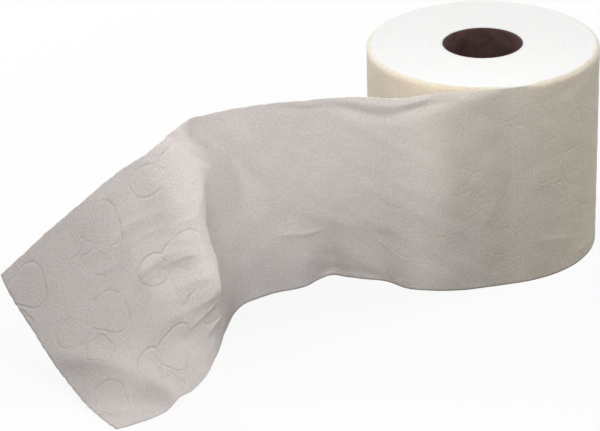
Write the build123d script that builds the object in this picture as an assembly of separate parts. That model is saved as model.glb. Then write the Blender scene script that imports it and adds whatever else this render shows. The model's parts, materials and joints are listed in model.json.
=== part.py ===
"""A roll of toilet paper standing on its end, with the free end of the web pulled out beside it.

Two pieces: the cardboard core tube, and the paper web, which is the wound turns, the outer
turn and the pulled-out tail in one solid. The origin is on the bore's axis at the floor, +Z up.
"""
import math
import os

from build123d import *

# Driving sizes, in mm
WEB_WIDTH = 114.0
ROLL_RADIUS = 62.5
BORE_RADIUS = 21.0
CORE_WALL = 0.6
SHEET_THICKNESS = 0.4

# The web leaves the roll here: degrees around the axis, from +X towards +Y
TAKE_OFF_ANGLE = -77.0

# The plies cling to the turn below for this far past the take-off
CLING_LENGTH = 4.0

# Turns that stand slightly apart show as shallow rings on both end faces
RING_COUNT = 5
RING_DEPTH = 0.25
RING_WIDTH = 0.7
RING_EDGE = 6.0

# The tail's lower edge on the floor, seen from above: how far along the take-off direction,
# and how far out from the roll's tangent line. The scallop at 93 is a perforation.
HEM_LINE = [
    (0.0, 0.0), (12.5, 0.0), (24.5, -0.2), (36.5, -1.6), (47.0, -4.8), (56.5, -9.3),
    (62.5, -14.8), (67.5, -19.6), (77.5, -25.0), (85.5, -29.9), (93.0, -34.7),
    (100.5, -31.8), (108.0, -26.8), (114.5, -24.8), (121.5, -24.4), (130.0, -24.2),
    (137.5, -22.4), (144.5, -18.9), (150.0, -13.9), (156.0, -4.1), (161.5, 7.5),
    (167.0, 20.0), (172.0, 33.0), (177.5, 45.5), (184.0, 55.5), (191.5, 64.5),
    (205.0, 78.0), (215.5, 84.0), (226.5, 87.5), (233.0, 89.0),
]

# How the sheet stands on that line. Each row has the distance along the web, the compass
# turn of its lean (0 is away from the roll, 90 is along the web), and its slope in degrees
# at six heights across the web (90 is upright, 0 is flat on the floor).
SLOPE_HEIGHTS = [0.0, 0.12, 0.3, 0.55, 0.8, 1.0]
STANCE = [
    (0, 13, 90, 90, 90, 90, 90, 90),
    (6, 13, 90, 90, 90, 90, 90, 90),
    (36, 18, 90, 90, 88, 91, 92, 82),
    (70, 26, 89, 92, 84, 86, 82, 71),
    (104, 37, 84, 86, 82, 87, 80, 71),
    (128, 58, 84, 82, 83, 90, 82, 73),
    (152, 89, 88, 81, 79, 92, 80, 77),
    (176, 110, 88, 76, 71, 95, 74, 73),
    (190, 112, 90, 86, 78, 87, 61, 66),
    (204, 119, 81, 89, 93, 62, 56, 55),
    (220, 130, 46, 77, 97, 44, 52, 46),
    (238, 136, 15, 54, 95, 35, 47, 43),
    (262, 146, 0, 22, 75, 29, 41, 42),
    (284, 152, 0, 8, 47, 28, 36, 44),
    (304, 157, 0, 2, 18, 29, 29, 52),
]

# The scallops of the lower edge die out within about this share of the width
RUFFLE_FADE = 0.22

# Further up, the sheet follows the lower edge's line averaged over this much each way
RUFFLE_SPAN = 34.0
RUFFLE_SAMPLES = 8

# The larger creases: depth (towards the outer face is positive), half-width, and the line
# each follows as distance along the web and height across it, in mm.
FOLDS = [
    (-2.4, 4.5, [(178, 112), (165, 101), (153, 86), (147, 68), (144, 54)]),
    (2.2, 6.5, [(186, 93), (163, 88)]),
    (1.3, 4.0, [(188, 75), (213, 81), (245, 87)]),
    (1.0, 4.0, [(202, 69), (226, 76), (262, 73)]),
    (1.5, 4.0, [(212, 55), (230, 63), (252, 56)]),
    (-0.9, 4.5, [(206, 61), (234, 70), (258, 64)]),
]

# How finely the tail is divided, and how far apart (mm) the points that give its normals are
TAIL_SECTIONS = 102
TAIL_LEVELS = 39
PROFILE_STEPS = 40
NORMAL_PROBE = 0.5


def monotone_slopes(knots, values):
    """Slopes at the knots for a cubic curve that never overshoots its values."""
    gaps = [b - a for a, b in zip(knots, knots[1:])]
    rates = [(b - a) / gap for a, b, gap in zip(values, values[1:], gaps)]
    slopes = [rates[0]]
    for before, after, left, right in zip(rates, rates[1:], gaps, gaps[1:]):
        if before * after <= 0.0:
            slopes.append(0.0)
            continue
        near, far = 2 * right + left, right + 2 * left
        slopes.append((near + far) / (near / before + far / after))
    return slopes + [rates[-1]]


def hermite(knots, values, slopes, at):
    """The cubic through values at knots, with the given slopes."""
    at = min(max(at, knots[0]), knots[-1])
    k = max(i for i in range(len(knots) - 1) if knots[i] <= at)
    span = knots[k + 1] - knots[k]
    q = (at - knots[k]) / span
    start = (1 + 2 * q) * (1 - q) ** 2 * values[k] + q * (1 - q) ** 2 * span * slopes[k]
    end = q * q * (3 - 2 * q) * values[k + 1] + q * q * (q - 1) * span * slopes[k + 1]
    return start + end


class HemLine:
    """The lower edge's plan line, by distance along it."""

    def __init__(self, points):
        self.knots = [0.0]
        for a, b in zip(points, points[1:]):
            self.knots.append(self.knots[-1] + math.dist(a, b))
        self.length = self.knots[-1]
        self.axes = [self.with_slopes([p[k] for p in points]) for k in (0, 1)]

    def with_slopes(self, values):
        gaps = [b - a for a, b in zip(self.knots, self.knots[1:])]
        rates = [(b - a) / gap for a, b, gap in zip(values, values[1:], gaps)]
        inner = [(before * right + after * left) / (left + right)
                 for before, after, left, right in zip(rates, rates[1:], gaps, gaps[1:])]
        return values, [rates[0]] + inner + [rates[-1]]

    def at(self, distance):
        return [hermite(self.knots, values, slopes, distance) for values, slopes in self.axes]

    def mean(self, distance):
        """The line with its scallops averaged out, which the upper sheet follows."""
        span = min(RUFFLE_SPAN, distance, self.length - distance)
        steps = [k / RUFFLE_SAMPLES for k in range(-RUFFLE_SAMPLES, RUFFLE_SAMPLES + 1)]
        weights = [1.001 - k * k for k in steps]
        points = [self.at(distance + k * span) for k in steps]
        return [sum(w * p[axis] for w, p in zip(weights, points)) / sum(weights) for axis in (0, 1)]


hem = HemLine(HEM_LINE)
stance_knots = [row[0] for row in STANCE]
stance_columns = [[row[k] for row in STANCE] for k in range(1, len(STANCE[0]))]
stance_slopes = [monotone_slopes(stance_knots, column) for column in stance_columns]
run_end = stance_knots[-1]

out_angle = math.radians(TAKE_OFF_ANGLE)
out_way = Vector(math.cos(out_angle), math.sin(out_angle), 0)
run_way = Vector(math.sin(out_angle), -math.cos(out_angle), 0)
take_off = out_way * (ROLL_RADIUS - SHEET_THICKNESS)


def cross_profile(run):
    """Reach and height across the web at a distance along it, and the lean's plan direction."""
    turn, *slopes = [hermite(stance_knots, column, rates, run)
                     for column, rates in zip(stance_columns, stance_slopes)]
    rates = monotone_slopes(SLOPE_HEIGHTS, slopes)
    step = WEB_WIDTH / PROFILE_STEPS
    reach, height = [0.0], [0.0]
    for k in range(PROFILE_STEPS):
        slope = math.radians(hermite(SLOPE_HEIGHTS, slopes, rates, (k + 0.5) / PROFILE_STEPS))
        reach.append(reach[-1] + step * math.cos(slope))
        height.append(height[-1] + step * math.sin(slope))
    turn = math.radians(turn)
    return reach, height, out_way * math.cos(turn) + run_way * math.sin(turn)


def between(values, share):
    """A value between the profile's steps, at a share of the width."""
    place = min(max(share, 0.0), 1.0) * PROFILE_STEPS
    k = min(int(place), PROFILE_STEPS - 1)
    return values[k] + (values[k + 1] - values[k]) * (place - k)


def smooth_row(run, shares):
    """Inner-face points across the web at one distance along it, before the creases."""
    distance = run * hem.length / run_end
    edge, middle = hem.at(distance), hem.mean(distance)
    reach, height, lean = cross_profile(run)
    row = []
    for share in shares:
        fade = math.exp(-((share / RUFFLE_FADE) ** 2))
        along, out = [m + (e - m) * fade for e, m in zip(edge, middle)]
        foot = take_off + run_way * along + out_way * out
        row.append(foot + lean * between(reach, share) + Vector(0, 0, between(height, share)))
    return row


def crease_height(run, up):
    """How far the creases push the sheet towards its outer face."""
    total = 0.0
    for depth, width, line in FOLDS:
        nearest = math.inf
        for (x0, y0), (x1, y1) in zip(line, line[1:]):
            dx, dy = x1 - x0, y1 - y0
            q = min(max(((run - x0) * dx + (up - y0) * dy) / (dx * dx + dy * dy), 0.0), 1.0)
            nearest = min(nearest, math.hypot(run - x0 - q * dx, up - y0 - q * dy))
        total += depth * math.exp(-((nearest / width) ** 2))
    return total


def on_or_above_floor(point):
    return Vector(point.X, point.Y, min(max(point.Z, 0.0), WEB_WIDTH))


def section(run, shares):
    """Outer-face and inner-face points of the sheet at one distance along the web."""
    before = smooth_row(max(run - NORMAL_PROBE, 0.0), shares)
    after = smooth_row(min(run + NORMAL_PROBE, run_end), shares)
    lower = smooth_row(run, [share - NORMAL_PROBE / WEB_WIDTH for share in shares])
    upper = smooth_row(run, [share + NORMAL_PROBE / WEB_WIDTH for share in shares])
    here = smooth_row(run, shares)
    inner, outer = [], []
    for k, share in enumerate(shares):
        normal = (upper[k] - lower[k]).cross(after[k] - before[k]).normalized()
        point = here[k] + normal * crease_height(run, share * WEB_WIDTH)
        inner.append(on_or_above_floor(point))
        outer.append(on_or_above_floor(point + normal * SHEET_THICKNESS))
    return outer, inner


def tail_solid():
    """The pulled-out length of web: ruled strips between cross-sections, closed all round."""
    shares = [k / (TAIL_LEVELS - 1) for k in range(TAIL_LEVELS)]
    rims = []
    for k in range(TAIL_SECTIONS):
        outer, inner = section(run_end * k / (TAIL_SECTIONS - 1), shares)
        rims.append([
            Edge.make_spline(outer, parameters=shares),
            Edge.make_line(outer[-1], inner[-1]),
            Edge.make_spline(inner, parameters=shares),
            Edge.make_line(outer[0], inner[0]),
        ])
    faces = [Face.make_surface_from_curves(before, after)
             for rim, next_rim in zip(rims, rims[1:])
             for before, after in zip(rim, next_rim)]
    faces += [Face.make_surface_from_curves(rim[0], rim[2]) for rim in (rims[0], rims[-1])]
    return Solid(Shell(faces))


def at_angle(degrees, radius):
    """A plan point at an angle around the bore's axis."""
    return Vector(radius * math.cos(math.radians(degrees)), radius * math.sin(math.radians(degrees)), 0)


def wound_turns():
    """The turns as one solid: the outline is a spiral that steps in by one sheet a turn."""
    half_step = SHEET_THICKNESS / 2
    far_centre = at_angle(TAKE_OFF_ANGLE + 180, half_step)
    far_radius = ROLL_RADIUS - half_step
    cling_angle = TAKE_OFF_ANGLE - math.degrees(CLING_LENGTH / ROLL_RADIUS)
    near_half = ThreePointArc(
        at_angle(TAKE_OFF_ANGLE, ROLL_RADIUS),
        at_angle(TAKE_OFF_ANGLE + 90, ROLL_RADIUS),
        at_angle(TAKE_OFF_ANGLE + 180, ROLL_RADIUS),
    )
    cling_point = far_centre + at_angle(cling_angle, far_radius)
    far_half = ThreePointArc(near_half @ 1, far_centre + at_angle(cling_angle - 90, far_radius), cling_point)
    back_corner = take_off + run_way * CLING_LENGTH
    front_corner = back_corner + out_way * SHEET_THICKNESS
    outline = [
        near_half,
        far_half,
        Line(cling_point, back_corner),
        Line(back_corner, front_corner),
        Line(front_corner, near_half @ 0),
    ]
    turns = extrude(make_face(outline), WEB_WIDTH)
    turns -= Cylinder(BORE_RADIUS + CORE_WALL, WEB_WIDTH, align=(Align.CENTER, Align.CENTER, Align.MIN))
    return turns


def end_rings():
    """Shallow V grooves on both end faces, between groups of turns."""
    inner = BORE_RADIUS + CORE_WALL + RING_EDGE
    outer = ROLL_RADIUS - RING_EDGE
    grooves = []
    for k in range(RING_COUNT):
        radius = inner + (outer - inner) * k / (RING_COUNT - 1)
        for face, inward in ((0.0, 1), (WEB_WIDTH, -1)):
            groove = Plane.XZ * Polygon(
                (radius - RING_WIDTH / 2, face - inward * RING_DEPTH),
                (radius + RING_WIDTH / 2, face - inward * RING_DEPTH),
                (radius, face + inward * RING_DEPTH),
                align=None,
            )
            grooves.append(revolve(groove, Axis.Z))
    return grooves


def paper_web():
    """The wound turns with the tail joined on where the plies stop clinging."""
    turns = wound_turns()
    for groove in end_rings():
        turns -= groove
    return turns + tail_solid()


def core_tube():
    """The cardboard tube that the web is glued to."""
    middle = (Align.CENTER, Align.CENTER, Align.MIN)
    tube = Cylinder(BORE_RADIUS + CORE_WALL, WEB_WIDTH, align=middle)
    return tube - Cylinder(BORE_RADIUS, WEB_WIDTH, align=middle)


os.makedirs("parts", exist_ok=True)
for name, build in (("core_tube", core_tube), ("paper_web", paper_web)):
    piece = build()
    export_step(piece, f"parts/{name}.step")
    print(name, "volume", round(piece.volume), "mm3, valid", piece.is_valid)
print("web pulled out", round(hem.length, 1), "mm along its lower edge")
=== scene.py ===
# %% [markdown]
# # A roll of toilet paper with its end pulled out
#
# The real object is two things: a cardboard tube, and one long strip of soft paper wound round it.
# The strip's last foot has been pulled off the roll. It stands on its lower edge, bends, and comes
# down towards us as a rumpled ramp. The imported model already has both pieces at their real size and
# in their real place, so this script only gives them their finish: a finer surface, fibres, creases,
# embossing, and paper that lets light through.

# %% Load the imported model
import json
import math

import bpy
import numpy as np
from mathutils import Matrix, Vector


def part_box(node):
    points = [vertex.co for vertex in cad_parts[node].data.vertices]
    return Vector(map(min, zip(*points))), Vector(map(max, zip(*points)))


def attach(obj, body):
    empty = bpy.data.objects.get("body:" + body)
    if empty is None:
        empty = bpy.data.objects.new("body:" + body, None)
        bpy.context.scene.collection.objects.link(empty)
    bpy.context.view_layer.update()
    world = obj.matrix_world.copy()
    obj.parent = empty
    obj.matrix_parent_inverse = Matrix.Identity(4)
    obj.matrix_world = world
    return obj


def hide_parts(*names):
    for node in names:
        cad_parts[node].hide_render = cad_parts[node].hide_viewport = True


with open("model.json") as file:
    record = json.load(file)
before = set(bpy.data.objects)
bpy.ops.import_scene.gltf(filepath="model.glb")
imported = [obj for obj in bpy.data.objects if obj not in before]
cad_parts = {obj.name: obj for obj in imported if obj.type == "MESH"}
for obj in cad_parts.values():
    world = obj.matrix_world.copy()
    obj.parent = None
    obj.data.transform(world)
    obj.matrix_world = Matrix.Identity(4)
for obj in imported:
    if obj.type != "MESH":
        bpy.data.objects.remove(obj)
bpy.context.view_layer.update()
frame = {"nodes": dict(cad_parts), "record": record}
print("nodes:", sorted(frame["nodes"]))

# %% [markdown]
# The frame is in metres, but paper is easier to talk about in millimetres, so each table below is
# written in millimetres and multiplied by `MM`. The sizes of the roll are read from the frame and
# from its record, never typed again. Only what the frame doesn't hold is repeated here: how thick the
# sheet is, where round the roll it leaves, and for how long it still lies against the turn below.

# %% Sizes taken from the frame
MM = 0.001
web_low, web_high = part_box("paper_web")
core_low, core_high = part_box("core_tube")
mounts = {mount["name"]: mount for mount in frame["record"]["mounts"]}
WEB_WIDTH = web_high.z - web_low.z
ROLL_RADIUS = web_high.y
CORE_OUTER = core_high.y
BORE_RADIUS = mounts["core_bore"]["dims"]["r_mm"] * MM
SHEET_THICKNESS = 0.4 * MM
TAKE_OFF_DEGREES = -77.0
CLING_LENGTH = 4.0 * MM
print("roll radius", round(ROLL_RADIUS, 4), "web width", round(WEB_WIDTH, 4), "bore", BORE_RADIUS)

# %% [markdown]
# ## The camera
#
# A camera that matches a photograph is found from shapes of known size in it. Here the end face and
# the hole are circles, so the shape of their ellipses gives the tilt, and the roll's height against
# its width gives the distance. Setting the camera first means that every later piece can be judged
# in the right view.

# %% Place the camera
CAMERA_TILT = math.radians(26.16)
CAMERA_ROLL = math.radians(-1.82)
CAMERA_DISTANCE = 1.3843
CAMERA_LOOKS_AT = Vector((-0.10083, 0.0, 0.01432))
CAMERA_LENS = 150.0
SENSOR_WIDTH = 36.0

forward = Vector((0.0, math.cos(CAMERA_TILT), -math.sin(CAMERA_TILT)))
level_right = Vector((1.0, 0.0, 0.0))
level_up = level_right.cross(forward)
right = math.cos(CAMERA_ROLL) * level_right + math.sin(CAMERA_ROLL) * level_up
above = right.cross(forward)
camera = bpy.data.objects.new("camera", bpy.data.cameras.new("camera"))
bpy.context.scene.collection.objects.link(camera)
camera.matrix_world = Matrix.Translation(CAMERA_LOOKS_AT - forward * CAMERA_DISTANCE) @ Matrix(
    (right, above, -forward)).transposed().to_4x4()
camera.data.lens = CAMERA_LENS
camera.data.sensor_width = SENSOR_WIDTH
bpy.context.scene.camera = camera
print("camera at", [round(value, 3) for value in camera.location])

# %% [markdown]
# ## The web as one sheet
#
# The pulled-out paper could be simulated as cloth, but its form here is exact: the model already
# says where the lower edge lies and how the sheet stands on it. So the same description is repeated:
# a plan line for the lower edge, and at places along the web the direction in which the sheet leans
# and its slope at six heights. Curves that never overshoot join the rows.

# %% How the sheet stands
# The lower edge in plan: mm along the line in which the sheet leaves the roll, and mm out from it
HEM_LINE = np.array([
    (0.0, 0.0), (12.5, 0.0), (24.5, -0.2), (36.5, -1.6), (47.0, -4.8), (56.5, -9.3),
    (62.5, -14.8), (67.5, -19.6), (77.5, -25.0), (85.5, -29.9), (93.0, -34.7),
    (100.5, -31.8), (108.0, -26.8), (114.5, -24.8), (121.5, -24.4), (130.0, -24.2),
    (137.5, -22.4), (144.5, -18.9), (150.0, -13.9), (156.0, -4.1), (161.5, 7.5),
    (167.0, 20.0), (172.0, 33.0), (177.5, 45.5), (184.0, 55.5), (191.5, 64.5),
    (205.0, 78.0), (215.5, 84.0), (226.5, 87.5), (233.0, 89.0),
]) * MM
SLOPE_HEIGHTS = np.array([0.0, 0.12, 0.3, 0.55, 0.8, 1.0])
# Each row: mm along the web, the way it leans, and its slope at the six heights, both in degrees
STANCE = np.array([
    (0, 13, 90, 90, 90, 90, 90, 90),
    (6, 13, 90, 90, 90, 90, 90, 90),
    (36, 18, 90, 90, 88, 91, 92, 82),
    (70, 26, 89, 92, 84, 86, 82, 71),
    (104, 37, 84, 86, 82, 87, 80, 71),
    (128, 58, 84, 82, 83, 90, 82, 73),
    (152, 89, 88, 81, 79, 92, 80, 77),
    (176, 110, 88, 76, 71, 95, 74, 73),
    (190, 112, 90, 86, 78, 87, 61, 66),
    (204, 119, 81, 89, 93, 62, 56, 55),
    (220, 130, 46, 77, 97, 44, 52, 46),
    (238, 136, 15, 54, 95, 35, 47, 43),
    (262, 146, 0, 22, 75, 29, 41, 42),
    (284, 152, 0, 8, 47, 28, 36, 44),
    (304, 157, 0, 2, 18, 29, 29, 52),
], dtype=float)
RUN_END = STANCE[-1, 0] * MM
RUFFLE_FADE = 0.22
RUFFLE_SPAN = 34.0 * MM


def steady_slopes(knots, values):
    """Slopes at the knots, one column each, for curves that never overshoot their values."""
    gaps = np.diff(knots)[:, None]
    rates = np.diff(values, axis=0) / gaps
    before, after = rates[:-1], rates[1:]
    gap_before, gap_after = gaps[:-1], gaps[1:]
    same_way = before * after > 0
    near, far = 2 * gap_after + gap_before, gap_after + 2 * gap_before
    safe_before = np.where(same_way, before, 1.0)
    safe_after = np.where(same_way, after, 1.0)
    inner = np.where(same_way, (near + far) / (near / safe_before + far / safe_after), 0.0)
    return np.vstack([rates[:1], inner, rates[-1:]])


def curve_through(knots, values, slopes, at):
    """Points at the places `at` of the cubic curve through values at knots."""
    at = np.clip(at, knots[0], knots[-1])
    k = np.clip(np.searchsorted(knots, at, side="right") - 1, 0, len(knots) - 2)
    span = (knots[k + 1] - knots[k])[:, None]
    q = (at[:, None] - knots[k][:, None]) / span
    start = (1 + 2 * q) * (1 - q) ** 2 * values[k] + q * (1 - q) ** 2 * span * slopes[k]
    end = q * q * (3 - 2 * q) * values[k + 1] + q * q * (q - 1) * span * slopes[k + 1]
    return start + end


print("web pulled out", round(RUN_END, 3), "m")

# %% [markdown]
# The lower edge has scallops, because paper that is pulled sideways wrinkles. They die out higher
# up, where the sheet follows the same line with its scallops averaged away. One function gives a
# point of the sheet for every distance along it (`run`) and every share of its width.

# %% From a place on the flat sheet to a place in space
hem_steps = np.linalg.norm(np.diff(HEM_LINE, axis=0), axis=1)
hem_knots = np.concatenate([[0.0], np.cumsum(hem_steps)])
hem_length = hem_knots[-1]
hem_gaps = np.diff(hem_knots)[:, None]
hem_rates = np.diff(HEM_LINE, axis=0) / hem_gaps
hem_weighted = hem_rates[:-1] * hem_gaps[1:] + hem_rates[1:] * hem_gaps[:-1]
hem_inner = hem_weighted / (hem_gaps[:-1] + hem_gaps[1:])
hem_slopes = np.vstack([hem_rates[:1], hem_inner, hem_rates[-1:]])

out_angle = math.radians(TAKE_OFF_DEGREES)
out_way = np.array([math.cos(out_angle), math.sin(out_angle), 0.0])
run_way = np.array([math.sin(out_angle), -math.cos(out_angle), 0.0])
take_off = out_way * (ROLL_RADIUS - SHEET_THICKNESS)


def hem_at(distance):
    return curve_through(hem_knots, HEM_LINE, hem_slopes, distance)


def hem_mean(distance, samples=8):
    """The hem line averaged over a span each way, so without its scallops."""
    span = np.minimum(RUFFLE_SPAN, np.minimum(distance, hem_length - distance))
    shares = np.arange(-samples, samples + 1) / samples
    weights = 1.001 - shares**2
    return sum(w * hem_at(distance + k * span) for k, w in zip(shares, weights)) / weights.sum()


def sheet_points(runs, shares, fine_steps=80):
    """The sheet's inner face as a grid of points: runs by shares by xyz."""
    knots = STANCE[:, 0] * MM
    rows = curve_through(knots, STANCE[:, 1:], steady_slopes(knots, STANCE[:, 1:]), runs)
    slopes_at_heights = np.radians(rows[:, 1:]).T
    fine = (np.arange(fine_steps) + 0.5) / fine_steps
    bends = steady_slopes(SLOPE_HEIGHTS, slopes_at_heights)
    slope = curve_through(SLOPE_HEIGHTS, slopes_at_heights, bends, fine)
    step = WEB_WIDTH / fine_steps
    none_yet = np.zeros(len(runs))
    reach = np.vstack([none_yet, np.cumsum(np.cos(slope), axis=0) * step])
    height = np.vstack([none_yet, np.cumsum(np.sin(slope), axis=0) * step])
    marks = np.arange(fine_steps + 1) / fine_steps
    turn = np.radians(rows[:, 0])[:, None]
    lean = np.cos(turn) * out_way + np.sin(turn) * run_way
    distance = runs * hem_length / RUN_END
    edge, middle = hem_at(distance), hem_mean(distance)
    fade = np.exp(-((shares / RUFFLE_FADE) ** 2))[None, :, None]
    plan = middle[:, None, :] + (edge - middle)[:, None, :] * fade
    points = take_off + plan[..., :1] * run_way + plan[..., 1:] * out_way
    reach_here = np.array([np.interp(shares, marks, reach[:, k]) for k in range(len(runs))])
    height_here = np.array([np.interp(shares, marks, height[:, k]) for k in range(len(runs))])
    points = points + lean[:, None, :] * reach_here[..., None]
    points[..., 2] += height_here
    return points


print("hem length", round(hem_length, 4), "m against", round(RUN_END, 4))

# %% [markdown]
# ## Creases and ripples
#
# A soft sheet keeps every fold that it has had. Sculpting them by hand would be slow and could not
# be repeated, so each crease is one line of a table: how deep, how wide, and the path that it takes
# across the flat sheet. The depth is pushed along the sheet's own normal, so a crease stays a crease
# wherever the sheet goes.

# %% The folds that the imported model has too
# Each row: height in mm (below 0 is a hollow), half-width in mm, and points (run, up) in mm
FOLDS_AND_HOLLOWS = [
    (-2.4, 4.5, [(178, 112), (165, 101), (153, 86), (147, 68), (144, 54)]),
    (2.2, 6.5, [(186, 93), (163, 88)]),
    (1.3, 4.0, [(188, 75), (213, 81), (245, 87)]),
    (1.0, 4.0, [(202, 69), (226, 76), (262, 73)]),
    (1.5, 4.0, [(212, 55), (230, 63), (252, 56)]),
    (-0.9, 4.5, [(206, 61), (234, 70), (258, 64)]),
]
print(len(FOLDS_AND_HOLLOWS), "folds and hollows")

# %% Creases at the bend, where the upright web turns into the ramp
CREASES_AT_THE_BEND = [
    (-2.6, 3.2, [(172, 118), (164, 108), (158, 98), (152, 88), (146, 77), (138, 64)]),
    (-4.6, 9.5, [(180, 118), (170, 106), (162, 94), (153, 80), (144, 62), (137, 46)]),
    (-1.9, 3.0, [(191, 116), (182, 107), (176, 99), (168, 92), (161, 87)]),
    (0.8, 2.0, [(180, 112), (173, 104), (167, 97), (161, 91)]),
    (0.7, 3.2, [(165, 90), (173, 84), (188, 81), (198, 78), (204, 72), (206, 65),
                (209, 58), (212, 48), (211, 36), (208, 24), (205, 8)]),
    (1.8, 9.0, [(172, 98), (190, 90), (207, 84), (216, 70), (219, 54), (218, 38), (214, 20)]),
    (2.2, 10.0, [(214, 58), (214, 44), (211, 28), (208, 6)]),
]
print(len(CREASES_AT_THE_BEND), "creases at the bend")

# %% Creases on the ramp, most of them fanning out from the bend
CREASES_ON_THE_RAMP = [
    (1.5, 1.9, [(192, 81), (209, 82), (221, 84), (231, 86), (239, 87), (252, 89)]),
    (1.5, 1.9, [(196, 72), (208, 75), (221, 77), (231, 79), (241, 80), (251, 79), (262, 80)]),
    (1.3, 1.8, [(206, 64), (212, 65), (219, 69), (227, 71), (239, 74)]),
    (1.6, 1.9, [(210, 56), (221, 60), (229, 63), (236, 64), (244, 63), (254, 61)]),
    (1.3, 1.8, [(214, 46), (226, 49), (236, 50)]),
    (1.0, 1.5, [(211, 31), (222, 28), (232, 25)]),
    (0.7, 1.8, [(202, 18), (213, 16), (221, 11)]),
    (1.0, 2.2, [(206, 10), (213, 6), (224, 5), (243, 8)]),
    (-0.9, 2.2, [(204, 69), (214, 70), (228, 74), (244, 77), (256, 75)]),
    (-0.8, 2.0, [(208, 60), (218, 63), (230, 67), (244, 68)]),
    (-0.8, 2.2, [(214, 52), (224, 54), (236, 57), (250, 56)]),
    (0.9, 1.5, [(192, 88), (206, 88), (220, 91), (236, 95)]),
    (0.9, 1.5, [(214, 68), (224, 73), (238, 76), (252, 77)]),
    (0.6, 2.4, [(226, 92), (244, 93), (262, 89)]),
    (0.6, 2.2, [(209, 40), (224, 36), (234, 38), (246, 40)]),
    (2.2, 11.0, [(206, 44), (220, 34), (238, 26)]),
    (-0.5, 1.4, [(228, 27), (233, 20), (231, 12)]),
    (-0.9, 1.5, [(220, 0), (235, 3), (246, 2), (256, 2)]),
    (-0.7, 3.2, [(188, 109), (203, 108), (222, 107), (244, 109)]),
    (5.0, 7.5, [(303, 66), (296, 54), (288, 44), (279, 35), (271, 25), (266, 14), (264, 2), (263, -8)]),
]
print(len(CREASES_ON_THE_RAMP), "creases on the ramp")

# %% Creases on the upright web: the lip at its top, its belly and its foot
CREASES_ON_THE_UPRIGHT_WEB = [
    (-1.4, 3.2, [(99, 110), (90, 107), (82, 104), (73, 102), (64, 103), (55, 106), (46, 108), (34, 110)]),
    (0.7, 2.4, [(94, 114), (80, 111), (67, 110), (54, 111.5), (42, 114)]),
    (3.5, 32.0, [(20, 58), (60, 60), (100, 60), (128, 66)]),
    (-1.9, 3.6, [(120, 117), (100, 117), (80, 116), (66, 117), (55, 116), (30, 116), (6, 116)]),
    (-0.6, 2.4, [(128, 111), (116, 109), (106, 108), (98, 110)]),
    (-2.6, 16.0, [(150, 4), (128, -2), (104, -4), (80, -2), (56, -2)]),
    (0.5, 5.0, [(106, 40), (80, 38), (62, 34)]),
    (0.3, 4.0, [(78, 74), (67, 81), (57, 85), (42, 88)]),
    (-0.3, 4.0, [(100, 66), (70, 67), (44, 68)]),
    (1.0, 1.6, [(133, 34), (130, 37), (120, 34), (109, 35)]),
    (-0.7, 3.5, [(114, 3), (101, 5), (88, 4), (74, 2)]),
]
print(len(CREASES_ON_THE_UPRIGHT_WEB), "creases on the upright web")

# %% Faint wrinkles on the outer turn
WRINKLES_ON_THE_ROLL = [
    (-0.12, 2.5, [(12, 101), (-2, 103), (-16, 104), (-42, 107)]),
    (0.12, 3.0, [(-12, 97), (-30, 99), (-50, 106), (-62, 112)]),
    (-0.1, 2.5, [(-10, 80), (-28, 82), (-52, 85)]),
    (-0.1, 2.8, [(-24, 86), (-44, 92), (-64, 102)]),
    (-0.12, 2.5, [(9, 77), (1, 69), (-8, 66), (-22, 69), (-42, 75)]),
    (-0.1, 2.5, [(12, 44), (1, 47), (-9, 50), (-22, 53)]),
    (0.2, 2.4, [(10, 17), (-3, 20), (-13, 23), (-26, 20), (-42, 17)]),
    (-0.15, 1.6, [(18, 25), (6, 18)]),
    (0.2, 2.2, [(-32, 7), (-51, 6), (-70, 5)]),
    (-0.1, 2.5, [(-20, 47), (-36, 48), (-58, 47)]),
    (0.1, 3.0, [(-18, 34), (-33, 35), (-54, 34)]),
]
CREASES = (FOLDS_AND_HOLLOWS + CREASES_AT_THE_BEND + CREASES_ON_THE_RAMP
           + CREASES_ON_THE_UPRIGHT_WEB + WRINKLES_ON_THE_ROLL)
print(len(CREASES), "creases in all")

# %% [markdown]
# A crease's height depends on how far a place is from its line. A narrow one has a sharp ridge, as
# folded paper has, and a wide one is a soft swelling. Both die away towards the ends of the line.

# %% Height of the creases at any place of the flat sheet
# Half-width in mm below which a crease is sharp, the rounding of its ridge in mm, and its fall-off
SHARP_BELOW = 3.0
SHARPEST = 0.7
SHARP_FALL = 0.7
# Share of a line in which it fades at each end, and the share of its height that is left there
FADE_AT_ENDS = 0.22
LEFT_AT_ENDS = 0.25


def smooth(value, start, end):
    """0 before start, 1 after end, and smooth between."""
    q = np.clip((value - start) / (end - start), 0.0, 1.0)
    return q * q * (3 - 2 * q)


def nearest_on_line(run, up, line):
    """Distance from each point of the flat sheet to a polyline, and how far along it that is."""
    lengths = [math.dist(a, b) for a, b in zip(line, line[1:])]
    best = np.full(run.shape, np.inf)
    place = np.zeros(run.shape)
    done = 0.0
    for (x0, y0), (x1, y1), length in zip(line, line[1:], lengths):
        dx, dy = x1 - x0, y1 - y0
        q = np.clip(((run - x0) * dx + (up - y0) * dy) / length**2, 0.0, 1.0)
        away = np.hypot(run - x0 - q * dx, up - y0 - q * dy)
        nearer = away < best
        best = np.where(nearer, away, best)
        place = np.where(nearer, (done + q * length) / sum(lengths), place)
        done += length
    return best, place


def rounded_corners(line, rounds=2):
    """The polyline with its corners cut twice, so that a crease curves instead of turning."""
    for _ in range(rounds):
        cut = [line[0]]
        for (x0, y0), (x1, y1) in zip(line, line[1:]):
            cut.append((0.75 * x0 + 0.25 * x1, 0.75 * y0 + 0.25 * y1))
            cut.append((0.25 * x0 + 0.75 * x1, 0.25 * y0 + 0.75 * y1))
        line = cut + [line[-1]]
    return line


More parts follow.
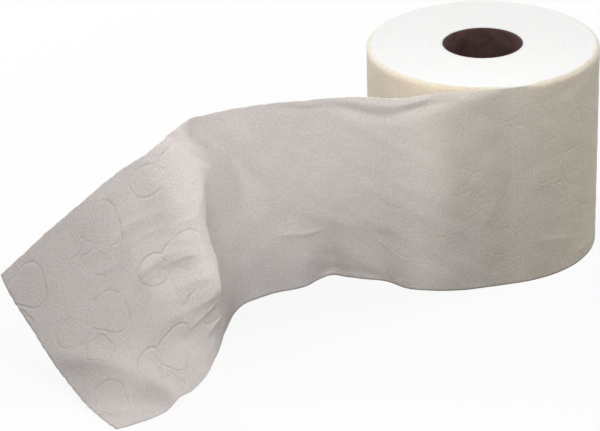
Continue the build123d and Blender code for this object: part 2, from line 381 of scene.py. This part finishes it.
def crease_relief(run, up):
    """Height of all the creases, in metres, at flat places given in metres."""
    run, up = run / MM, up / MM
    total = np.zeros(run.shape)
    for height, width, line in CREASES:
        line_runs = [place[0] for place in line]
        near = (run[:, 0] > min(line_runs) - 3 * width) & (run[:, 0] < max(line_runs) + 3 * width)
        if not near.any():
            continue
        away, place = nearest_on_line(run[near], up[near], rounded_corners(line))
        if width < SHARP_BELOW:
            shape = np.exp(-(np.hypot(away, SHARPEST) - SHARPEST) / (SHARP_FALL * width))
        else:
            shape = np.exp(-((away / width) ** 2))
        full = smooth(np.minimum(place, 1.0 - place), 0.0, FADE_AT_ENDS)
        total[near] += height * shape * (LEFT_AT_ENDS + (1 - LEFT_AT_ENDS) * full)
    return total * MM


print("narrow, sharp creases:", sum(width < SHARP_BELOW for _, width, _ in CREASES))

# %% [markdown]
# ## Building the paper's mesh
#
# The roll and its pulled-out end are one strip, so they are one closed mesh. Seen from above, its
# outline goes once round the roll, out along the inner face of the sheet, round the free end and
# back along the outer face. Every point of that outline is a column of the mesh, and every height is
# a row. That keeps the paper continuous where the sheet leaves the roll, and it gives the sheet a
# real thickness for the light to pass through.

# %% Columns of the outline and rows of the height
ROLL_STEP = 1.9 * MM
UPRIGHT_STEP = 1.5 * MM
RAMP_STEP = 1.0 * MM
RAMP_FROM = 150.0 * MM
ROW_STEP = 1.0 * MM
TOP_ROWS = np.array([2.2, 1.6, 1.1, 0.7, 0.35, 0.12, 0.0]) * MM
TOP_BAND = 2.5 * MM

row_heights = np.concatenate([np.arange(0.0, WEB_WIDTH - TOP_BAND, ROW_STEP), WEB_WIDTH - TOP_ROWS])
row_count = len(row_heights)
shares = row_heights / WEB_WIDTH
turn_angle = 2 * math.pi - CLING_LENGTH / ROLL_RADIUS
turn_length = ROLL_RADIUS * turn_angle
roll_count = int(turn_length / ROLL_STEP)
roll_turn = np.linspace(0.0, turn_angle, roll_count)
roll_runs = -ROLL_RADIUS * roll_turn
upright_runs = np.arange(CLING_LENGTH, RAMP_FROM, UPRIGHT_STEP)
tail_runs = np.concatenate([upright_runs, np.arange(RAMP_FROM, RUN_END, RAMP_STEP), [RUN_END]])
outer_runs = np.concatenate([[0.0, CLING_LENGTH / 2], tail_runs])
print("columns:", roll_count, "+ 2 x", len(tail_runs), "rows:", row_count)

# %% [markdown]
# Between its creases a soft sheet is never quite flat either. A few waves of different lengths and
# directions, added together, give that without any chance in it. They are weaker on the roll, where
# the paper is wound tight, and they keep away from the place where the sheet leaves it, so that its
# two faces stay apart. Torn and frayed edges wander in the same way.

# %% Ripples between the creases
# Each row: height in mm, waves per mm along the run, waves per mm up the width, and a shift
RIPPLES = [
    (0.10, 0.021, 0.043, 0.3), (0.08, -0.034, 0.061, 1.9), (0.06, 0.058, 0.037, 4.1),
    (0.05, -0.049, 0.093, 2.6), (0.04, 0.087, 0.071, 5.2), (0.03, 0.113, -0.127, 0.9),
]
# Each row: share of the whole, radians per mm, how far the shift moves the wave, and its own start
EDGE_WAVES = [(0.5, 0.61, 1.0, 0.0), (0.3, 1.37, 2.1, 1.0), (0.25, 2.93, 0.7, 2.0)]


def ripple_relief(run, up):
    waves = [h * np.sin(2 * math.pi * (a * run + b * up) / MM + shift) for h, a, b, shift in RIPPLES]
    return sum(waves) * MM


def uneven(place, shift=0.0):
    """A wandering line between about -1 and 1, for torn and frayed edges. The place is in mm."""
    return sum(share * np.sin(place * rate + pull * shift + start) for share, rate, pull, start in EDGE_WAVES)


print("ripples up to", round(sum(row[0] for row in RIPPLES), 2), "mm high")

# %% [markdown]
# The points of both parts of the strip are now known: round the roll from the radius, and on the
# pulled-out sheet from its curved guide. Each is pushed along the paper's normal by its creases and
# ripples. The top edge frays a little and the free end is torn. The roll's rim is rounded, because
# the soft edges of its outer turns get squashed.

# %% Points of the roll's side and of both faces of the sheet
# How far the edges wander, where that starts, and the paces of their waves
EDGE_FRAY = 0.22 * MM
FRAY_FULL_FROM = 30.0 * MM
FRAYED_FROM = 0.97 * WEB_WIDTH
TORN_FROM = RUN_END - 2.0 * MM
TORN_PACE, TORN_SHIFT = 1.7, 0.8
RIM_ROUND = 2.2 * MM
RIM_FRAY = 0.18
RIM_PACE, RIM_SHIFT = 0.8, 2.0
RIM_FADE = (14.0 * MM, 8.0 * MM)
# Distances from the take-off, both ways, between which the relief comes in, and from the turn's end
ROOT_CLEAR = (4.0 * MM, 14.0 * MM)
TURN_END_CLEAR = 12.0 * MM
LOOSENS_OVER = 30.0 * MM
RIPPLES_ON_THE_ROLL = 0.35


def relief(run, up):
    """Height of creases and ripples: none where the sheet leaves the roll."""
    clear_of_root = smooth(np.abs(run), *ROOT_CLEAR)
    clear_of_end = smooth(turn_length + run, 0.0, TURN_END_CLEAR)
    loose = smooth(run, -LOOSENS_OVER, LOOSENS_OVER)
    ripples = ripple_relief(run, up) * (RIPPLES_ON_THE_ROLL + (1 - RIPPLES_ON_THE_ROLL) * loose)
    return (crease_relief(run, up) + ripples) * clear_of_root * clear_of_end


def unit(vectors):
    return vectors / np.linalg.norm(vectors, axis=-1, keepdims=True)


def on_or_above_floor(points):
    points[..., 2] = np.clip(points[..., 2], 0.0, WEB_WIDTH)
    return points


def tail_faces():
    """Inner and outer face of the pulled-out sheet, as grids of points."""
    guide = sheet_points(outer_runs, shares)
    along = np.gradient(guide, outer_runs, axis=0)
    across = np.gradient(guide, shares, axis=1)
    normal, upward, ahead = unit(np.cross(across, along)), unit(across), unit(along)
    run, up = np.meshgrid(outer_runs, row_heights, indexing="ij")
    at_top = smooth(run, 2 * CLING_LENGTH, FRAY_FULL_FROM) * smooth(up, FRAYED_FROM, WEB_WIDTH)
    at_end = smooth(run, TORN_FROM, RUN_END)
    frayed = EDGE_FRAY * uneven(run / MM) * at_top
    torn = EDGE_FRAY * uneven(up / MM * TORN_PACE, TORN_SHIFT) * at_end
    moved = normal * relief(run, up)[..., None] + upward * frayed[..., None] + ahead * torn[..., None]
    inner = on_or_above_floor(guide + moved)
    outer = on_or_above_floor(inner + normal * SHEET_THICKNESS)
    return inner[2:], outer


def roll_side():
    """The wound turns' outer surface: a spiral that steps in by one sheet in a turn."""
    angle = out_angle + roll_turn
    half_step = SHEET_THICKNESS / 2
    past_half = (roll_turn > math.pi)[:, None]
    centre = -out_way[:2] * half_step * past_half
    radius = ROLL_RADIUS - half_step * past_half
    way = np.stack([np.cos(angle), np.sin(angle)], axis=1)
    run, up = np.meshgrid(roll_runs, row_heights, indexing="ij")
    rim = np.clip((up - (WEB_WIDTH - RIM_ROUND)) / RIM_ROUND, 0.0, 1.0)
    frayed_rim = RIM_ROUND * (1.0 + RIM_FRAY * uneven(run / MM * RIM_PACE, RIM_SHIFT))
    pulled_in = frayed_rim * (1.0 - np.sqrt(1.0 - rim**2))
    pulled_in *= smooth(-run, 0.0, RIM_FADE[0]) * smooth(turn_length + run, 0.0, RIM_FADE[1])
    height = relief(run, up) - pulled_in
    level = (centre + way * radius)[:, None, :] + way[:, None, :] * height[..., None]
    return np.concatenate([level, up[..., None]], axis=-1)


roll_points = roll_side()
inner_points, outer_points = tail_faces()
print("sheet spans", outer_points.min(axis=(0, 1)).round(3), outer_points.max(axis=(0, 1)).round(3))

# %% [markdown]
# The columns are stitched into one closed skin: both faces of the strip, the two long cut edges
# between them, an end face at the bottom and one at the top, and the wall that touches the core. The
# end faces are rings of points, evenly spaced from the third ring on. The first rings take up the
# small step that the spiral makes where the sheet leaves the roll.

# %% Faces of the strip
columns = np.concatenate([roll_points, inner_points, outer_points[::-1][:-1]])
column_runs = np.concatenate([roll_runs, tail_runs, outer_runs[::-1][:-1]])
strip_points = columns.reshape(-1, 3)
index = np.arange(len(strip_points)).reshape(len(columns), row_count)
outer_from = roll_count + len(tail_runs)
root_from = outer_from + len(tail_runs) - 1


def side_faces():
    """Both faces of the strip, and where each corner lies on the flat sheet."""
    after = np.roll(index, -1, axis=0)
    faces = np.stack([index[:, :-1], after[:, :-1], after[:, 1:], index[:, 1:]], axis=-1)
    runs = np.stack([column_runs, np.roll(column_runs, -1)], axis=1)
    runs[-1, 1] = 0.0
    runs[roll_count - 1, 1] = runs[roll_count - 1, 0]
    u0 = np.repeat(runs[:, :1], row_count - 1, axis=1)
    u1 = np.repeat(runs[:, 1:], row_count - 1, axis=1)
    v0, v1 = (np.broadcast_to(v, u0.shape) for v in (row_heights[:-1], row_heights[1:]))
    places = np.stack([u0, v0, u1, v0, u1, v1, u0, v1], axis=-1)
    return faces.reshape(-1, 4), places.reshape(-1, 4, 2)


def long_edge(row):
    """The cut edge between both faces of the pulled-out sheet, in the bottom or the top row."""
    top = row > 0
    inner = index[roll_count:outer_from, row]
    outer = index[outer_from:, row][::-1][-len(tail_runs):]
    a, b, c, d = inner[:-1], inner[1:], outer[1:], outer[:-1]
    near, far = tail_runs[:-1], tail_runs[1:]
    up = np.full(len(near), row_heights[row])
    faces = np.stack([a, b, c, d] if top else [a, d, c, b], axis=-1)
    order = [near, far, far, near] if top else [near, near, far, far]
    return faces, np.stack([np.stack([run, up], axis=-1) for run in order], axis=1)


print(len(columns), "columns of", row_count, "points")

# %% Faces of the roll's two ends
END_RINGS = 26
EVEN_FROM = 3


def end_face(row, first_new):
    """Rings of faces from the rim in to the core: faces, new points, and the last ring's numbers."""
    top = row > 0
    rim = np.concatenate([index[:roll_count + 1, row], index[root_from:, row]])
    x, y, z = strip_points[rim].T
    angle = np.unwrap(np.arctan2(y, x))
    even = angle[0] + np.arange(len(rim)) * 2 * math.pi / len(rim)
    rim_radius = np.hypot(x, y)
    faces, rings, outside = [], [], rim
    for k in range(1, END_RINGS + 1):
        ring_angle = angle + (even - angle) * min(1.0, k / EVEN_FROM)
        ring_radius = rim_radius + (CORE_OUTER - rim_radius) * (k / END_RINGS)
        way = np.stack([np.cos(ring_angle), np.sin(ring_angle)])
        rings.append(np.stack([*(way * ring_radius), z], axis=1))
        inside = first_new + (k - 1) * len(rim) + np.arange(len(rim))
        a, b, c, d = outside, np.roll(outside, -1), np.roll(inside, -1), inside
        faces.append(np.stack([a, b, c, d] if top else [a, d, c, b], axis=-1))
        outside = inside
    return np.concatenate(faces), np.concatenate(rings), outside


def web_mesh():
    """Points and faces of the paper, a texture place for each corner, and each face's material."""
    strip = [side_faces(), long_edge(0), long_edge(row_count - 1)]
    strip_faces = np.concatenate([faces for faces, _ in strip])
    strip_places = np.concatenate([places for _, places in strip])
    low_faces, low_points, low_bore = end_face(0, len(strip_points))
    top_faces, top_points, top_bore = end_face(row_count - 1, len(strip_points) + len(low_points))
    bore_wall = np.stack([top_bore, np.roll(top_bore, -1), np.roll(low_bore, -1), low_bore], axis=-1)
    points = np.concatenate([strip_points, low_points, top_points])
    ends = np.concatenate([low_faces, top_faces, bore_wall])
    quads = np.concatenate([strip_faces, ends])
    places = np.concatenate([strip_places, points[ends][..., :2]])
    materials = np.repeat([0, 1], [len(strip_faces), len(ends)])
    return points, quads, places, materials


def new_piece(name, points, quads, places, materials=None):
    """A smooth-shaded mesh object from arrays of points, four-sided faces and texture places."""
    mesh = bpy.data.meshes.new(name)
    mesh.from_pydata(points.tolist(), [], quads.tolist())
    mesh.polygons.foreach_set("use_smooth", np.ones(len(quads), bool))
    if materials is not None:
        mesh.polygons.foreach_set("material_index", materials.astype(np.int32))
    layer = mesh.uv_layers.new(name="flat_sheet")
    layer.data.foreach_set("uv", places.reshape(-1).astype(np.float32))
    mesh.update()
    piece = bpy.data.objects.new(name, mesh)
    bpy.context.scene.collection.objects.link(piece)
    return piece


paper = new_piece("pulled_web_and_turns", *web_mesh())
repaired = paper.data.validate(verbose=False)
print("paper:", len(paper.data.polygons) * 2, "triangles, repaired:", repaired)

# %% [markdown]
# ## Shader maths that reads like maths
#
# A procedural material is arithmetic on the place being shaded. Wired by hand it is dozens of small
# nodes, so one class wraps a node's output and overloads the operators. `1 - mask` then adds the
# Math node and returns its wrapped output.

# %% A value in a material's node tree
class Value:
    """One output of a node. An expression on it adds the Math nodes."""

    def __init__(self, finish, output):
        self.finish = finish
        self.output = output

    def maths(self, operation, *others):
        values = dict(enumerate((self, *others)))
        return self.finish.add("ShaderNodeMath", {"operation": operation}, values).out()

    def __add__(self, other):
        return self.maths("ADD", other)

    __radd__ = __add__

    def __mul__(self, other):
        return self.maths("MULTIPLY", other)

    __rmul__ = __mul__

    def __sub__(self, other):
        return self.maths("SUBTRACT", other)

    def __rsub__(self, other):
        return (self * -1.0) + other

    def __truediv__(self, other):
        return self.maths("DIVIDE", other)

    def __abs__(self):
        return self.maths("ABSOLUTE")

    def most(self, other):
        return self.maths("MAXIMUM", other)

    def sine(self):
        return self.maths("SINE")

    def floor(self):
        return self.maths("FLOOR")

    def wrap(self, period):
        return self.maths("WRAP", period / 2, -period / 2)

    def rise(self, start, end):
        """0 below start, 1 above end, smooth between. With start above end it falls."""
        values = {"Value": self, "From Min": start, "From Max": end}
        return self.finish.add("ShaderNodeMapRange", {"interpolation_type": "SMOOTHSTEP"}, values).out()


class Node:
    """A node that was added, and its outputs as values."""

    def __init__(self, finish, node):
        self.finish = finish
        self.node = node

    def out(self, key=0):
        return Value(self.finish, self.node.outputs[key])


class Finish:
    """The node tree of a material or of the world."""

    def __init__(self, owner):
        self.owner = owner
        owner.use_nodes = True
        self.tree = owner.node_tree
        self.tree.nodes.clear()

    def add(self, kind, settings=None, values=None):
        """Any node: its type, its settings, and the values or links of its sockets."""
        node = self.tree.nodes.new(kind)
        for key, value in (settings or {}).items():
            setattr(node, key, value)
        for key, value in (values or {}).items():
            if isinstance(value, Value):
                self.tree.links.new(value.output, node.inputs[key])
            else:
                node.inputs[key].default_value = value
        return Node(self, node)

    def noise(self, place, scale, detail, roughness):
        values = {"Vector": place, "Scale": scale, "Detail": detail, "Roughness": roughness}
        return self.add("ShaderNodeTexNoise", None, values).out()

    def blend(self, share, first, second):
        """A colour between two, by Mix. Its colour sockets are 6 and 7, and its result is 2."""
        settings = {"data_type": "RGBA", "clamp_factor": True}
        return self.add("ShaderNodeMix", settings, {0: share, 6: first, 7: second}).out(2)

    def stretch(self, place, factors):
        return self.add("ShaderNodeVectorMath", {"operation": "MULTIPLY"}, {0: place, 1: factors}).out()

    def split(self, place):
        node = self.add("ShaderNodeSeparateXYZ", None, {0: place})
        return node.out(0), node.out(1), node.out(2)

    def bump(self, height, strength=1.0):
        """A bent normal from a height in millimetres."""
        values = {"Height": height, "Strength": strength, "Distance": MM}
        return self.add("ShaderNodeBump", None, values).out()

    def mix(self, share, first, second):
        return self.add("ShaderNodeMixShader", None, {0: share, 1: first, 2: second}).out()

    def surface(self, values):
        """A Principled BSDF. Light that enters it walks about, where it has a subsurface weight."""
        settings = {"subsurface_method": "RANDOM_WALK"}
        return self.add("ShaderNodeBsdfPrincipled", settings, values).out()

    def show(self, shader):
        """Give the shader to the material's output, and hand the material back."""
        self.add("ShaderNodeOutputMaterial", None, {"Surface": shader})
        return self.owner


def new_finish(name):
    return Finish(bpy.data.materials.new(name))


def tint(*screen_values):
    """A colour given as it looks on screen, 0 to 255, turned into the shader's linear values."""
    levels = [value / 255 for value in screen_values]
    linear = [((level + 0.055) / 1.055) ** 2.4 if level > 0.04 else level / 12.92 for level in levels]
    return (*linear, 1.0)


print("white paper is", [round(value, 2) for value in tint(246, 244, 240)[:3]])

# %% [markdown]
# ## The tissue
#
# Tissue is thin enough for light to come through, and that is most of its look: the sheet that
# stands free is brighter than the same sheet on the roll, and a shadow behind it shows in front.
# Subsurface scattering does this for a closed mesh with a real thickness. It has half of the free
# sheet's surface only, because in full it would wash out the folds. Under the rim of the roll it
# carries light from the end face a little way down. The colour carries painted light as well: the
# wound turns are painted a little darker and warmer, as painted shade, and the free sheet paler and
# pinker, as painted light through it.
#
# The bump is in millimetres and has four parts: creping, which is fine ridges across the web, a
# felt of fibres, the embossed loops, and the perforations. A fine grain of darker fibres is in the
# colour, because a bump alone would vanish in flat light. The loops lie in cells, half a sheet long
# and a third of the web high, and every other row of cells is moved by half a cell.

# %% Embossed loops
PER_MM = 1 / MM
SHEET_PITCH = 101.6
CELL_RUN = SHEET_PITCH / 2
CELL_UP = 38.0
# Depth of the lobes as a share of a loop's size, and how far from a line's middle, in mm, its dent
# starts and is deepest
LOBE_DEPTH = 0.13
LOOP_LINE = (1.1, 0.25)
# Each row: centre in a cell and size, in mm, then number of lobes, and turn of the lobes
LOOPS = [(-11.0, 4.0, 11.0, 3, 0.4), (8.0, 7.0, 8.5, 2, 1.9), (3.0, -9.0, 6.5, 5, 2.8)]


def embossed_loops(run, up):
    """Lines of a loose pattern of lobed loops, three to a cell, as a depth from 0 to 1."""
    row = (up / CELL_UP).floor()
    odd = abs((row * 0.5).wrap(1.0)) * 2.0
    x = (run + odd * (CELL_RUN / 2)).wrap(CELL_RUN)
    y = (up - CELL_UP / 2).wrap(CELL_UP)
    lines = None
    for centre_x, centre_y, size, lobes, turn in LOOPS:
        dx, dy = x - centre_x, y - centre_y
        away = (dx * dx + dy * dy).maths("SQRT")
        angle = dy.maths("ARCTAN2", dx)
        edge = (angle * float(lobes) + turn).sine() * (size * LOBE_DEPTH) + size
        line = abs(away - edge).rise(*LOOP_LINE)
        lines = line if lines is None else lines.most(line)
    return lines


print(len(LOOPS), "loops to a cell of", CELL_RUN, "x", CELL_UP, "mm")

# %% Tissue
# Heights in mm, and how much of the embossing the pulling has flattened
CREPING, FELT, EMBOSSING, PERFORATION = 0.36, 0.46, 0.42, 0.12
PULLED_FLAT = 0.75
DASH_PITCH = 4.0
# Runs in mm from the take-off, below 0 on the roll, between which a change takes place
FLATTER = (240.0, 150.0)
# Runs between which the roll's painted shade in the tissue colour turns into the free sheet's painted light
PAINTED_LIGHT_CHANGES = (-60.0, 120.0)
STANDS_FREE = (-10.0, 34.0)
RIM_GLOWS = (0.0, -14.0)
RIM_DEPTHS = (9.0, 1.0)
GRAIN = 0.14
# Painted light in the tissue colour: darker and warmer on the roll as painted shade, paler and pinker on the
# free sheet as painted light; each has a mottled twin for random tone
ROLL_TISSUE_WITH_PAINTED_SHADE, ROLL_TISSUE_WITH_PAINTED_SHADE_MOTTLED = tint(244, 235, 217), tint(239, 229, 211)
FREE_TISSUE_WITH_PAINTED_LIGHT, FREE_TISSUE_WITH_PAINTED_LIGHT_MOTTLED = tint(246, 234, 228), tint(242, 229, 223)
SHADE_OF_FIBRES = tint(120, 112, 108)
SHEET_GLOW = 0.5
SHEET_SCATTER = 3.0 * MM
RIM_SCATTER = 5.0 * MM


def tissue_height(finish, millimetres, run, up, cloud):
    creping = finish.noise(finish.stretch(millimetres, (1.6, 0.55, 1.0)), 1.0, 3.0, 0.6)
    felt = finish.noise(millimetres, 1.1, 4.0, 0.75)
    flattened = run.rise(*FLATTER) * PULLED_FLAT
    loops = embossed_loops(run, up) * cloud.rise(0.36, 0.55) * (1 - flattened)
    tear = abs(run.wrap(SHEET_PITCH)).rise(0.55, 0.15)
    dashes = (up * (2 * math.pi / DASH_PITCH)).sine().rise(-0.6, -0.2)
    return creping * CREPING + felt * FELT - loops * EMBOSSING - tear * dashes * PERFORATION


def tissue_colour(finish, millimetres, run, cloud):
    # The roll's colour carries painted shade and the free sheet's colour painted light, changing along the
    # run
    roll_painted_shade = finish.blend(cloud.rise(0.3, 0.7), ROLL_TISSUE_WITH_PAINTED_SHADE, ROLL_TISSUE_WITH_PAINTED_SHADE_MOTTLED)
    pulled = finish.blend(cloud.rise(0.3, 0.7), FREE_TISSUE_WITH_PAINTED_LIGHT, FREE_TISSUE_WITH_PAINTED_LIGHT_MOTTLED)
    colour = finish.blend(run.rise(*PAINTED_LIGHT_CHANGES), roll_painted_shade, pulled)
    grain = finish.noise(millimetres, 0.85, 2.0, 0.6)
    return finish.blend(grain.rise(0.38, 0.62), colour, finish.blend(GRAIN, colour, SHADE_OF_FIBRES))


def tissue():
    finish = new_finish("creped_tissue")
    place = finish.add("ShaderNodeUVMap", {"uv_map": "flat_sheet"}).out()
    millimetres = finish.stretch(place, (PER_MM, PER_MM, PER_MM))
    run, up, _ = finish.split(millimetres)
    cloud = finish.noise(millimetres, 0.05, 3.0, 0.5)
    colour = tissue_colour(finish, millimetres, run, cloud)
    normal = finish.bump(tissue_height(finish, millimetres, run, up, cloud))
    matt = {"Base Color": colour, "Roughness": 0.95, "Normal": normal, "Specular IOR Level": 0.15}
    rim = {**matt, "Subsurface Weight": 1.0, "Subsurface Radius": (1.0, 0.8, 0.6),
           "Subsurface Scale": RIM_SCATTER}
    free = {**matt, "Subsurface Weight": SHEET_GLOW, "Subsurface Radius": (1.0, 0.97, 0.95),
            "Subsurface Scale": SHEET_SCATTER}
    rim_band = [WEB_WIDTH / MM - depth for depth in RIM_DEPTHS]
    at_rim = up.rise(*rim_band) * run.rise(*RIM_GLOWS)
    wound = finish.mix(at_rim, finish.surface(matt), finish.surface(rim))
    return finish.show(finish.mix(run.rise(*STANDS_FREE), wound, finish.surface(free)))


paper.data.materials.append(tissue())
print("tissue has", len(paper.data.materials[0].node_tree.nodes), "nodes")

# %% [markdown]
# ## The cut edges of the turns
#
# The end face shows hundreds of paper edges. Each is finer than a dot of the picture, so they are a
# bump: a spiral of fine lines whose spacing drifts, because some turns are wound tighter. Groups of
# turns differ a little in colour, and light passes from edge to edge.

# %% End faces
TURN_SPACING = SHEET_THICKNESS / MM
EDGE_LINES, EDGE_FELT = 0.03, 0.12
EDGE_SCATTER = 1.2 * MM


def cut_edges():
    finish = new_finish("cut_paper_edges")
    place = finish.add("ShaderNodeTexCoord").out("Object")
    millimetres = finish.stretch(place, (PER_MM, PER_MM, 0.0))
    x, y, _ = finish.split(millimetres)
    radius = (x * x + y * y).maths("SQRT")
    around = y.maths("ARCTAN2", x) / (2 * math.pi)
    drift = finish.noise(millimetres, 0.06, 2.0, 0.5)
    turns = radius / TURN_SPACING - around + drift * 3.0
    lines = (turns * (2 * math.pi)).sine()
    felt = finish.noise(millimetres, 1.6, 3.0, 0.7)
    groups = finish.noise(finish.add("ShaderNodeCombineXYZ", None, {0: radius * 0.8}).out(), 1.0, 2.0, 0.6)
    return finish.show(finish.surface({
        "Base Color": finish.blend(groups.rise(0.3, 0.7), tint(246, 247, 245), tint(240, 240, 237)),
        "Roughness": 0.95, "Normal": finish.bump(lines * EDGE_LINES + felt * EDGE_FELT, 0.7),
        "Specular IOR Level": 0.1, "Subsurface Weight": 1.0,
        "Subsurface Radius": (1.0, 0.85, 0.7), "Subsurface Scale": EDGE_SCATTER,
    }))


paper.data.materials.append(cut_edges())
print("finishes on the paper:", [material.name for material in paper.data.materials])

# %% [markdown]
# ## The cardboard tube
#
# The core is a strip of grey-brown board wound into a tube, so a seam climbs round it like the
# stripe on a barber's pole. The seam is a low ridge in the mesh of the bore, and the board's fibres
# run round the tube. They are too fine for a mesh, so they are colour and bump. The board's colour
# is real board's colour, set darker as painted shade for the deep bore.

# %% Core tube
SEAM_PITCH = 62.0 * MM
SEAM_HEIGHT = 0.18 * MM
SEAM_SHARE = 0.012
END_ROUNDING = 0.12 * MM
CORE_COLUMNS = 160
CORE_ROWS = 76


def core_mesh():
    angle = np.linspace(0, 2 * math.pi, CORE_COLUMNS, endpoint=False)
    height = np.linspace(0.0, 1.0, CORE_ROWS) * (core_high.z - core_low.z) + core_low.z
    around, up = np.meshgrid(angle, height, indexing="ij")
    seam = (around / (2 * math.pi) - up / SEAM_PITCH) % 1.0
    ridge = SEAM_HEIGHT * np.exp(-((seam - 0.5) / SEAM_SHARE) ** 2)
    ends = np.minimum(up - core_low.z, core_high.z - up)
    round_off = END_ROUNDING * np.exp(-ends / END_ROUNDING)
    skins = []
    for radius, side in ((CORE_OUTER, 1.0), (BORE_RADIUS, -1.0)):
        here = radius - side * round_off + (ridge if side < 0 else 0.0)
        skins.append(np.stack([np.cos(around) * here, np.sin(around) * here, up], axis=-1))
    outer, inner = skins
    loop = np.concatenate([outer, inner[:, ::-1]], axis=1)
    count = loop.shape[1]
    index = np.arange(CORE_COLUMNS * count).reshape(CORE_COLUMNS, count)
    beside, over = np.roll(index, -1, axis=0), np.roll(index, -1, axis=1)
    both = np.roll(beside, -1, axis=1)
    quads = np.stack([index, beside, both, over], axis=-1).reshape(-1, 4)
    points = loop.reshape(-1, 3)
    place = np.stack([around, up], axis=-1)
    places = np.concatenate([place, place[:, ::-1]], axis=1).reshape(-1, 2)[quads]
    return points, quads, places


core = new_piece("spiral_wound_core", *core_mesh())
print("core:", len(core.data.polygons) * 2, "triangles")

# %% Cardboard
def cardboard():
    finish = new_finish("core_board_with_painted_shade")
    place = finish.add("ShaderNodeTexCoord").out("Object")
    x, y, z = finish.split(finish.stretch(place, (PER_MM, PER_MM, PER_MM)))
    around = y.maths("ARCTAN2", x) * (BORE_RADIUS / MM)
    flat = finish.add("ShaderNodeCombineXYZ", None, {0: around, 1: z}).out()
    fibres = finish.noise(finish.stretch(flat, (0.25, 1.6, 1.0)), 1.0, 4.0, 0.7)
    mottle = finish.noise(flat, 0.12, 3.0, 0.6)
    # These board colours are real board darkened further as painted shade for the bore
    board = finish.blend(mottle.rise(0.3, 0.7), tint(88, 65, 62), tint(72, 52, 50))
    return finish.show(finish.surface({
        "Base Color": finish.blend(fibres.rise(0.45, 0.8), board, tint(108, 84, 78)),
        "Roughness": 0.9, "Normal": finish.bump(fibres * 0.08 + mottle * 0.05, 0.8),
        "Specular IOR Level": 0.25,
    }))


core.data.materials.append(cardboard())
print("core finish:", core.data.materials[0].name)

# %% [markdown]
# ## Floor, world and lamps
#
# The photograph has the object cut out on white. White light everywhere would wash the paper out, so
# the whiteness is only what the camera sees: the world and part of the floor glow for camera,
# glossy and transmission rays, while the lamps stay at a plain level. The floor keeps a share of its
# ordinary shading, and with it a soft shadow.

# %% Floor
FLOOR_SIZE = 8.0
FLOOR_POINTS = 5
FLOOR_DROP = 0.1 * MM
SHADOW_SHARE = 0.13
WHITE = (1.0, 1.0, 1.0, 1.0)
FLOOR_LIT = (0.06, 0.06, 0.06, 1.0)
FLOOR_SEEN = (0.9, 0.9, 0.9, 1.0)


def seen_directly(finish):
    path = finish.add("ShaderNodeLightPath")
    seen = path.out("Is Camera Ray").most(path.out("Is Glossy Ray"))
    return seen.most(path.out("Is Transmission Ray"))


def floor_mesh():
    steps = np.linspace(-FLOOR_SIZE / 2, FLOOR_SIZE / 2, FLOOR_POINTS)
    x, y = np.meshgrid(steps, steps, indexing="ij")
    points = np.stack([x.ravel(), y.ravel(), np.zeros(x.size)], axis=1)
    grid = np.arange(x.size).reshape(x.shape)
    quads = np.stack([grid[:-1, :-1], grid[1:, :-1], grid[1:, 1:], grid[:-1, 1:]], axis=-1).reshape(-1, 4)
    return points, quads, points[quads][..., :2]


def white_floor():
    finish = new_finish("white_floor")
    seen = seen_directly(finish)
    glow = finish.add("ShaderNodeEmission", None, {"Color": WHITE, "Strength": 1.0}).out()
    colour = finish.blend(seen, FLOOR_LIT, FLOOR_SEEN)
    matt = finish.add("ShaderNodeBsdfDiffuse", None, {"Color": colour}).out()
    return finish.show(finish.mix(seen * (1 - SHADOW_SHARE), matt, glow))


floor = new_piece("floor", *floor_mesh())
floor.location.z = -FLOOR_DROP
floor.data.materials.append(white_floor())
print("floor", FLOOR_SIZE, "m across")

# %% World
AMBIENT = 0.17

world = bpy.data.worlds.new("white_studio")
bpy.context.scene.world = world
studio = Finish(world)
level = seen_directly(studio) * (1.0 - AMBIENT) + AMBIENT
light = studio.add("ShaderNodeBackground", None, {"Color": WHITE, "Strength": level}).out()
studio.add("ShaderNodeOutputWorld", None, {"Surface": light})
print("ambient light", AMBIENT)

# %% Lamps
LIT_POINT = Vector((-0.08, -0.03, 0.05))
# Name, compass turn from straight behind towards +X, height above the floor, both in degrees, then
# distance and size in metres, and power in watts
LAMPS = [
    ("back_left_softbox", -35, 26, 1.5, 0.5, 12.0),
    ("back_right_softbox", 70, 30, 1.5, 0.5, 10.6),
    ("left_key", -72, 27, 1.9, 0.3, 8.2),
    ("front_left_fill", -145, 30, 1.9, 1.0, 5.0),
    ("low_front_fill", 180, 15, 1.9, 1.0, 4.8),
    ("near_front_fill", 170, 46, 0.36, 0.2, 0.46),
]
for name, turn, height, distance, size, power in LAMPS:
    data = bpy.data.lights.new(name, "AREA")
    data.size = size
    data.energy = power
    lamp = bpy.data.objects.new(name, data)
    bpy.context.scene.collection.objects.link(lamp)
    a, e = math.radians(turn), math.radians(height)
    away = Vector((math.sin(a) * math.cos(e), math.cos(a) * math.cos(e), math.sin(e)))
    lamp.location = LIT_POINT + away * distance
    lamp.rotation_euler = (-away).to_track_quat("-Z", "Y").to_euler()

bpy.context.scene.view_settings.view_transform = "Standard"
print(len(LAMPS), "lamps")

# %% [markdown]
# ## Attach the pieces
#
# Each piece rides on the model's one body and says which imported node it stands for, and that
# node is hidden.

# %% Fix the pieces to the frame
for piece, node, slot in ((paper, "paper_web", "tissue"), (core, "core_tube", "cardboard")):
    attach(piece, "root")
    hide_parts(node)
    print(piece.name, "stands for", node)
